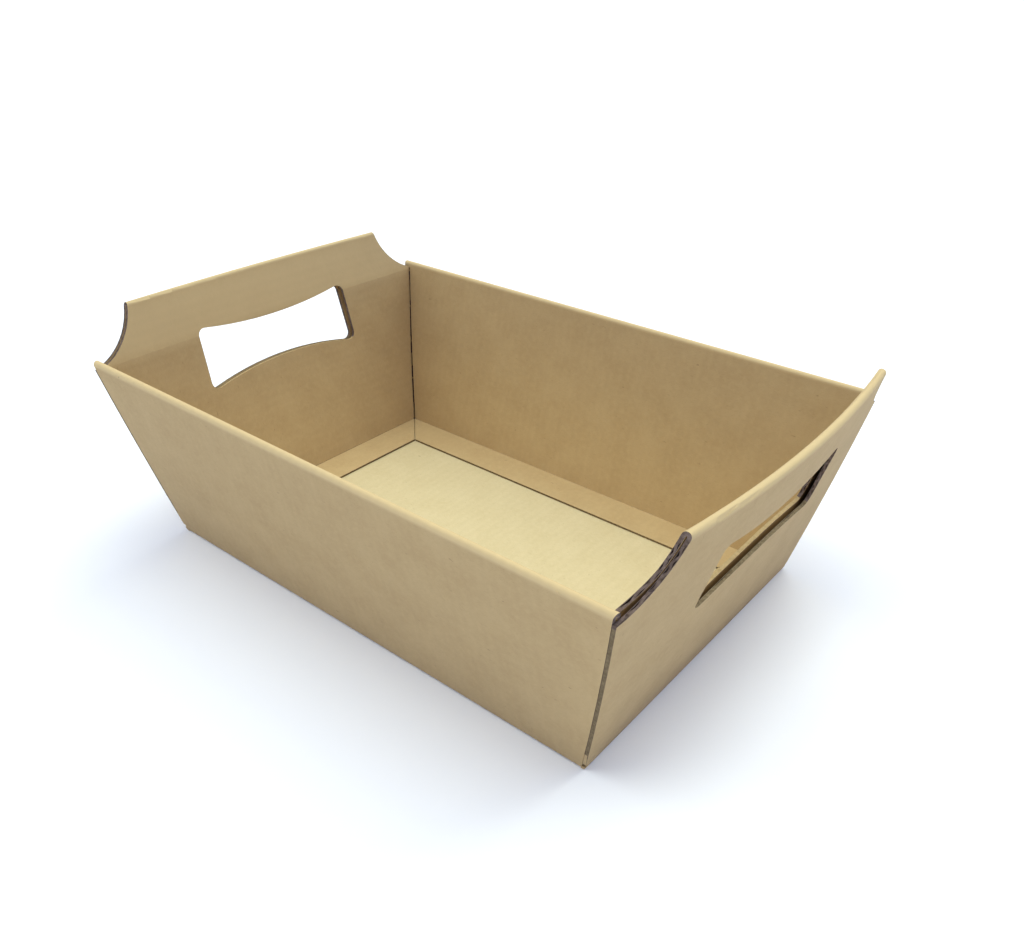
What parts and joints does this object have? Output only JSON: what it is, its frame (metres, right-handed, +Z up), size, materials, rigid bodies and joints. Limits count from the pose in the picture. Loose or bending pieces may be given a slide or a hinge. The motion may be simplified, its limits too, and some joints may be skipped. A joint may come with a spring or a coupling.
{
  "type": "cardboard tray box",
  "caption": "Open tray box folded from one sheet of kraft corrugated board, with sloping double walls, floor flanges and two raised, bowed ends with scalloped shoulders and hand holes.",
  "frame": {"origin": "on the surface that the tray stands on, under the middle of its base", "axes": "+X along the long walls towards one raised end, +Y along the ends, +Z up"},
  "size_m": [0.4176, 0.273, 0.1506],
  "materials": {
    "kraft_board": "uncoated kraft liner on both faces, open flutes at the cut edges"
  },
  "bodies": {
    "root": {"folded_tray": "kraft_board"}
  },
  "joints": []
}
